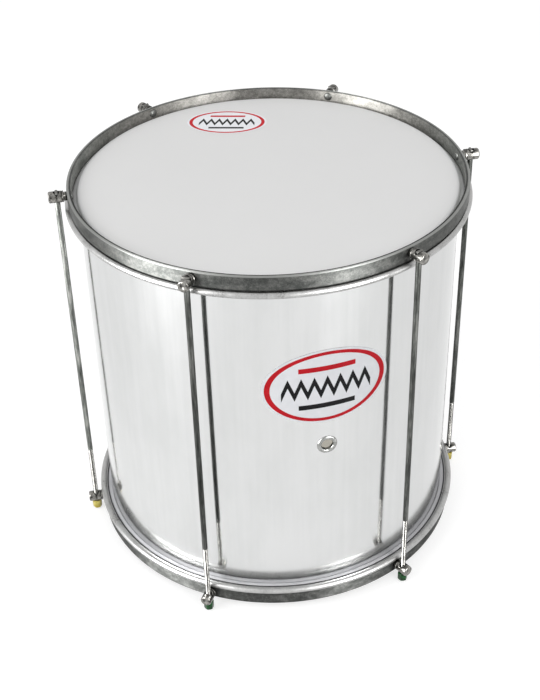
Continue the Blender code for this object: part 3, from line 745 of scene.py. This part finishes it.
def nut_mesh(name):
    """A long hexagon nut with its corners chamfered at both ends, z = 0 at its middle."""
    half = (NUT_TOP - NUT_LOW) / 2
    corner = NUT_FLATS / 2 / math.cos(math.pi / 6)
    hexagon = [(corner * math.cos(math.pi * i / 3), corner * math.sin(math.pi * i / 3)) for i in range(6)]
    blank = extruded(name, rounded(hexagon, 0.0006, 3), 2 * half)
    flat = NUT_FLATS / 2
    chamfer = [(0.0, half), (flat * 0.93, half), (corner + 0.0004, half - 0.0011)]
    chamfer += [(corner + 0.0004, 0.0011 - half), (flat * 0.93, -half), (0.0, -half)]
    cone = revolved("nut_tool", chamfer, 48, False)
    bore = [(0.0, 0.01), (0.0045, half + 0.0010), (0.0030, half - 0.0005), (0.0030, 0.0005 - half)]
    bore += [(0.0045, -half - 0.0010), (0.0, -0.01)]
    hole = revolved("bore_tool", bore, 32, False)
    return combined(name, blank, [("INTERSECT", cone), ("DIFFERENCE", hole)], 0.00012)


def make_stations(metals):
    stud = stud_mesh()
    shafts = {}
    thread = thread_mesh(THREAD_LENGTH, THREAD_RADIUS, THREAD_ROOT, 0.0015)
    nuts = {"green": nut_mesh("green_nut"), "yellow": nut_mesh("yellow_nut")}
    nut_z = (NUT_LOW + NUT_TOP) / 2
    for station, azimuth in AZIMUTHS.items():
        at_hoop = turned_to(azimuth, HOOP_OUTER, TOP_STUD_Z)
        put("upper_stud_" + station, stud, metals["stud"], "top_ring", ["top_stud_" + station], at_hoop)
        at_hoop = turned_to(azimuth, HOOP_OUTER, BOTTOM_STUD_Z)
        put("lower_stud_" + station, stud, metals["stud"], "drum", ["bottom_stud_" + station], at_hoop)
        at_rod = turned_to(azimuth, ROD_CIRCLE, 0.0)
        # A station with its own rod material gets that copy painted lighter or darker.
        finish = "rod_" + station if "rod_" + station in metals else "rod"
        if finish not in shafts:
            shafts[finish] = shaft_mesh()
        shaft = shafts[finish]
        put("rod_shaft_" + station, shaft, metals[finish], "top_ring", ["tension_rod_" + station], at_rod)
        put("rod_thread_" + station, thread, metals["thread"], "top_ring", (), at_rod)
        tint = "yellow" if station in ("left", "right") else "green"
        place = turned_to(azimuth, ROD_CIRCLE, nut_z)
        put("hex_nut_" + station, nuts[tint], metals[tint], "nut_" + station,
            ["tuning_nut_" + station], place)


# Vent, label and prints


def make_vent(material):
    bore = VENT_BORE_RADIUS
    tube = bore + 0.0009
    flange = EYELET_RADIUS
    seat = 0.00005
    inside = -SHELL_WALL - 0.0010
    profile = [(bore, -0.0004)] + [(bore + 0.0004, 0.0008), (bore + 0.0012, seat + EYELET_HEIGHT)]
    profile += [(flange - 0.0018, seat + EYELET_HEIGHT * 0.96), (flange - 0.0008, seat + EYELET_HEIGHT * 0.75)]
    profile += [(flange - 0.0002, seat + EYELET_HEIGHT * 0.4), (flange, seat), (tube, seat), (tube, inside)]
    profile += [(tube + 0.0009, inside), (tube + 0.0008, inside - 0.0004), (tube, inside - 0.0006)]
    profile += [(bore, inside - 0.0004)]
    place = outward(VENT_AZIMUTH, SHELL_RADIUS, EYELET_Z)
    mesh = revolved("eyelet", profile, 64)
    put("eyelet", mesh, material, "drum", ["vent_eyelet"], place)
    top = -SHELL_WALL - 0.0001
    ring = [(tube + 0.0002, top), (0.0095, top), (0.0095, top - 0.0008), (tube + 0.0002, top - 0.0008)]
    washer = revolved("eyelet_washer", rounded(ring, 0.0001, 1), 64)
    put("eyelet_washer", washer, material, "drum", ["vent_washer"], place)


def on_shell(u, v, lift):
    """A label point: u runs right as seen from outside, v up, from the label's middle."""
    azimuth = VENT_AZIMUTH + u / SHELL_RADIUS
    r = SHELL_RADIUS + lift
    return (r * math.cos(azimuth), r * math.sin(azimuth), LABEL_Z + v)


def on_head(u, v, lift):
    turn = math.radians(-3.5)
    x = -0.046 + u * math.cos(turn) - v * math.sin(turn)
    y = 0.1397 + u * math.sin(turn) + v * math.cos(turn)
    return (x, y, TOP_HEAD_Z + lift)


def oval(width, height, scale, sides=96):
    turns = [2 * math.pi * i / sides for i in range(sides)]
    return [(width / 2 * scale * math.cos(t), height / 2 * scale * math.sin(t)) for t in turns]


def skin(name, rows, surface, lift, closed):
    """Quads between rows of (u, v) points, laid on a surface."""
    count = len(rows[0])
    points = [surface(u, v, lift) for row in rows for u, v in row]
    faces = []
    for i in range(len(rows) - 1):
        for j in range(count if closed else count - 1):
            k = (j + 1) % count
            faces.append([i * count + j, i * count + k, (i + 1) * count + k, (i + 1) * count + j])
    mesh = mesh_from(name, points, faces)
    shape = bmesh.new()
    shape.from_mesh(mesh)
    bmesh.ops.remove_doubles(shape, verts=shape.verts, dist=1e-7)
    bmesh.ops.recalc_face_normals(shape, faces=shape.faces)
    shape.to_mesh(mesh)
    shape.free()
    return mesh


def disc_rows(width, height, rings=8):
    return [oval(width, height, max(i / rings, 1e-4)) for i in range(rings + 1)]


def zigzag_rows(width, swing, thickness, teeth, per_tooth=8):
    """The lower and upper edges of a zigzag band."""
    steps = teeth * per_tooth
    low, high = [], []
    for i in range(steps + 1):
        u = width * (i / steps - 0.5)
        phase = (i / per_tooth) % 1.0
        v = swing * (1 - 4 * abs(phase - 0.5)) / 2
        low.append((u, v - thickness / 2))
        high.append((u, v + thickness / 2))
    return [low, high]


def bar_rows(centre, width, height, steps=24):
    us = [width * (i / steps - 0.5) for i in range(steps + 1)]
    return [[(u, centre - height / 2) for u in us], [(u, centre + height / 2) for u in us]]


def make_print(prefix, surface, width, height, base, inks, replaces):
    """A plain oval with a rim, a zigzag band and two bars."""
    put(prefix + "_ground", skin(prefix, disc_rows(width, height), surface, base, True), inks["white"], "drum",
        replaces)
    rim = [oval(width, height, 0.95), oval(width, height, 0.865)]
    put(prefix + "_rim", skin(prefix, rim, surface, base + PRINT_LIFT, True), inks["red"], "drum")
    band = zigzag_rows(width * 0.70, height * 0.19, height * 0.115, 7)
    put(prefix + "_zigzag", skin(prefix, band, surface, base + PRINT_LIFT, False), inks["black"], "drum")
    for side, ink_name in ((1, "red"), (-1, "black")):
        rows = bar_rows(side * height * 0.255, width * 0.44, height * 0.065)
        mesh = skin(prefix, rows, surface, base + PRINT_LIFT, False)
        put("%s_bar_%s" % (prefix, ink_name), mesh, inks[ink_name], "drum")


# Studio


def make_floor():
    """A pale floor that the camera and reflections see as white, apart from the drum's soft shadow."""
    n = Nodes("floor_paper", (0.42, 0.42, 0.42), 0.0, 0.9)
    n.roughness(n.remap(n.noise(n.position(), 3.0), 0.3, 0.7, 0.85, 0.95))
    glow = n.add("ShaderNodeEmission")
    glow.inputs["Strength"].default_value = FLOOR_GLOW
    both = n.add("ShaderNodeAddShader")
    n.link(n.shader.outputs["BSDF"], both.inputs[0])
    n.link(glow.outputs["Emission"], both.inputs[1])
    path = n.add("ShaderNodeLightPath")
    seen = n.math("MAXIMUM", path.outputs["Is Camera Ray"], path.outputs["Is Glossy Ray"])
    seen = n.math("MAXIMUM", seen, path.outputs["Is Transmission Ray"])
    mix = n.add("ShaderNodeMixShader")
    n.link(seen, mix.inputs["Fac"])
    n.link(n.shader.outputs["BSDF"], mix.inputs[1])
    n.link(both.outputs["Shader"], mix.inputs[2])
    n.link(mix.outputs["Shader"], n.tree.nodes["Material Output"].inputs["Surface"])
    half = 12.0
    corners = [(-half, -half, 0.0), (half, -half, 0.0), (half, half, 0.0), (-half, half, 0.0)]
    mesh = mesh_from("floor", corners, [[0, 1, 2, 3]])
    mesh.materials.append(n.material)
    floor = bpy.data.objects.new("floor", mesh)
    bpy.context.scene.collection.objects.link(floor)


def make_world():
    """Even light from all round; the camera, reflections and clear surfaces see plain white."""
    world = bpy.data.worlds.new("studio")
    world.use_nodes = True
    tree = world.node_tree
    background = tree.nodes["Background"]
    background.inputs["Color"].default_value = (1.0, 1.0, 1.0, 1.0)
    path = tree.nodes.new("ShaderNodeLightPath")
    clear = tree.nodes.new("ShaderNodeMath")
    clear.operation = "MAXIMUM"
    seen = tree.nodes.new("ShaderNodeMath")
    seen.operation = "MAXIMUM"
    choose = tree.nodes.new("ShaderNodeMix")
    choose.inputs["A"].default_value = WORLD_LIGHT
    choose.inputs["B"].default_value = 1.0
    tree.links.new(path.outputs["Is Glossy Ray"], clear.inputs[0])
    tree.links.new(path.outputs["Is Transmission Ray"], clear.inputs[1])
    tree.links.new(path.outputs["Is Camera Ray"], seen.inputs[0])
    tree.links.new(clear.outputs["Value"], seen.inputs[1])
    tree.links.new(seen.outputs["Value"], choose.inputs["Factor"])
    tree.links.new(choose.outputs["Result"], background.inputs["Strength"])
    bpy.context.scene.world = world


def make_lamp(name, azimuth, elevation, distance, width, height, radiance, reflected_only=False):
    """A softbox that faces the drum's middle, or a strip that only shows in glossy surfaces."""
    data = bpy.data.lights.new(name, "AREA")
    data.shape = "RECTANGLE"
    data.size = width
    data.size_y = height
    data.energy = radiance * math.pi * width * height
    lamp = bpy.data.objects.new(name, data)
    bpy.context.scene.collection.objects.link(lamp)
    a, e = math.radians(azimuth), math.radians(elevation)
    away = Vector((math.cos(a) * math.cos(e), math.sin(a) * math.cos(e), math.sin(e)))
    lamp.location = Vector((0.0, 0.0, 0.25)) + away * distance
    lamp.rotation_euler = away.to_track_quat("Z", "Y").to_euler()
    lamp.visible_diffuse = not reflected_only
    lamp.visible_transmission = not reflected_only


def make_camera():
    """The photograph's camera, solved from both hoops' outlines; lengths are in hoop radii."""
    middle = (TOP_HOOP_TOP + BOTTOM_HOOP_LOW) / 2
    elevation = math.radians(34.94)
    roll = math.radians(-1.481)
    distance = 6.924 * HOOP_OUTER
    focal_pixels = 1274.0
    frame_height = 700.0
    forward = Vector((0.0, math.cos(elevation), -math.sin(elevation)))
    across = Vector((1.0, 0.0, 0.0))
    up = across.cross(forward)
    right = across * math.cos(roll) + up * math.sin(roll)
    top = up * math.cos(roll) - across * math.sin(roll)
    data = bpy.data.cameras.new("camera")
    data.sensor_fit = "AUTO"
    data.sensor_width = 36.0
    data.lens = focal_pixels / frame_height * data.sensor_width
    data.shift_x = -2.26 / frame_height
    data.shift_y = -13.87 / frame_height
    camera = bpy.data.objects.new("camera", data)
    bpy.context.scene.collection.objects.link(camera)
    back = -forward
    place = Matrix((right, top, back)).transposed().to_4x4()
    place.translation = back * distance + Vector((0.0, 0.0, middle))
    camera.matrix_world = place
    bpy.context.scene.camera = camera


def main():
    zinc_metal = zinc()
    channel = channel_metal()
    film = milky_film()
    inside = painted_glow_film()
    metals = {
        "stud": stud_metal(),
        # The left and front-left rods take copies of the rod material painted lighter and darker, as painted light and
        # shade.
        "rod": rod_metal("rod_steel", 0.68),
        "rod_left": rod_metal("rod_steel_painted_lighter", 1.6),
        "rod_front_left": rod_metal("rod_steel_dark", 0.45),
        "thread": thread_metal(),
        "green": paint("green_paint", (0.001, 0.028, 0.004), (0.003, 0.100, 0.016)),
        "yellow": paint("yellow_paint", (0.62, 0.48, 0.06), (0.90, 0.78, 0.22)),
    }
    inks = {
        "white": ink("label_white", (0.82, 0.83, 0.86), (0.87, 0.88, 0.91)),
        "red": ink("label_red", (0.50, 0.008, 0.016), (0.60, 0.014, 0.024)),
        "black": ink("label_black", (0.004, 0.004, 0.005), (0.010, 0.010, 0.011)),
    }
    make_shell(shell_metal())
    drop = TOP_HEAD_Z - TOP_FLESH_Z
    make_head("upper_head", "top_head_film", TOP_FLESH_Z, drop, False, film, inside)
    make_head("lower_head", "bottom_head_film", BOTTOM_FLESH_Z, drop, True, film, inside)
    make_flesh_hoop("upper_flesh_hoop", "top_flesh_hoop", TOP_FLESH_Z, drop, False, channel)
    make_flesh_hoop("lower_flesh_hoop", "bottom_flesh_hoop", BOTTOM_FLESH_Z, drop, True, channel)
    make_hoop("upper_counter_hoop", "top_counter_hoop", TOP_HOOP_TOP, TOP_HOOP_LOW, TOP_STUD_Z, "top_ring", zinc_metal)
    make_hoop("lower_counter_hoop", "bottom_counter_hoop", BOTTOM_HOOP_TOP, BOTTOM_HOOP_LOW, BOTTOM_STUD_Z, "drum",
              zinc_metal)
    make_stations(metals)
    make_vent(plate())
    make_print("label", on_shell, LABEL_WIDTH, LABEL_HEIGHT, 0.0004, inks, ["shell_label"])
    make_print("head_print", on_head, 0.092, 0.060, 0.0001, inks, ())
    make_floor()
    make_world()
    make_lamp("left_softbox", -148.0, 35.0, 2.6, 1.6, 1.2, 4.2)
    make_lamp("right_softbox", -48.0, 35.0, 2.6, 1.0, 1.2, 4.2)
    make_lamp("left_strip", -150.0, 8.0, 2.4, 1.35, 1.25, 28.0, True)
    make_lamp("right_strip", -51.0, 8.0, 2.4, 0.72, 1.25, 23.0, True)
    make_camera()
    bpy.context.scene.view_settings.view_transform = "Standard"


main()
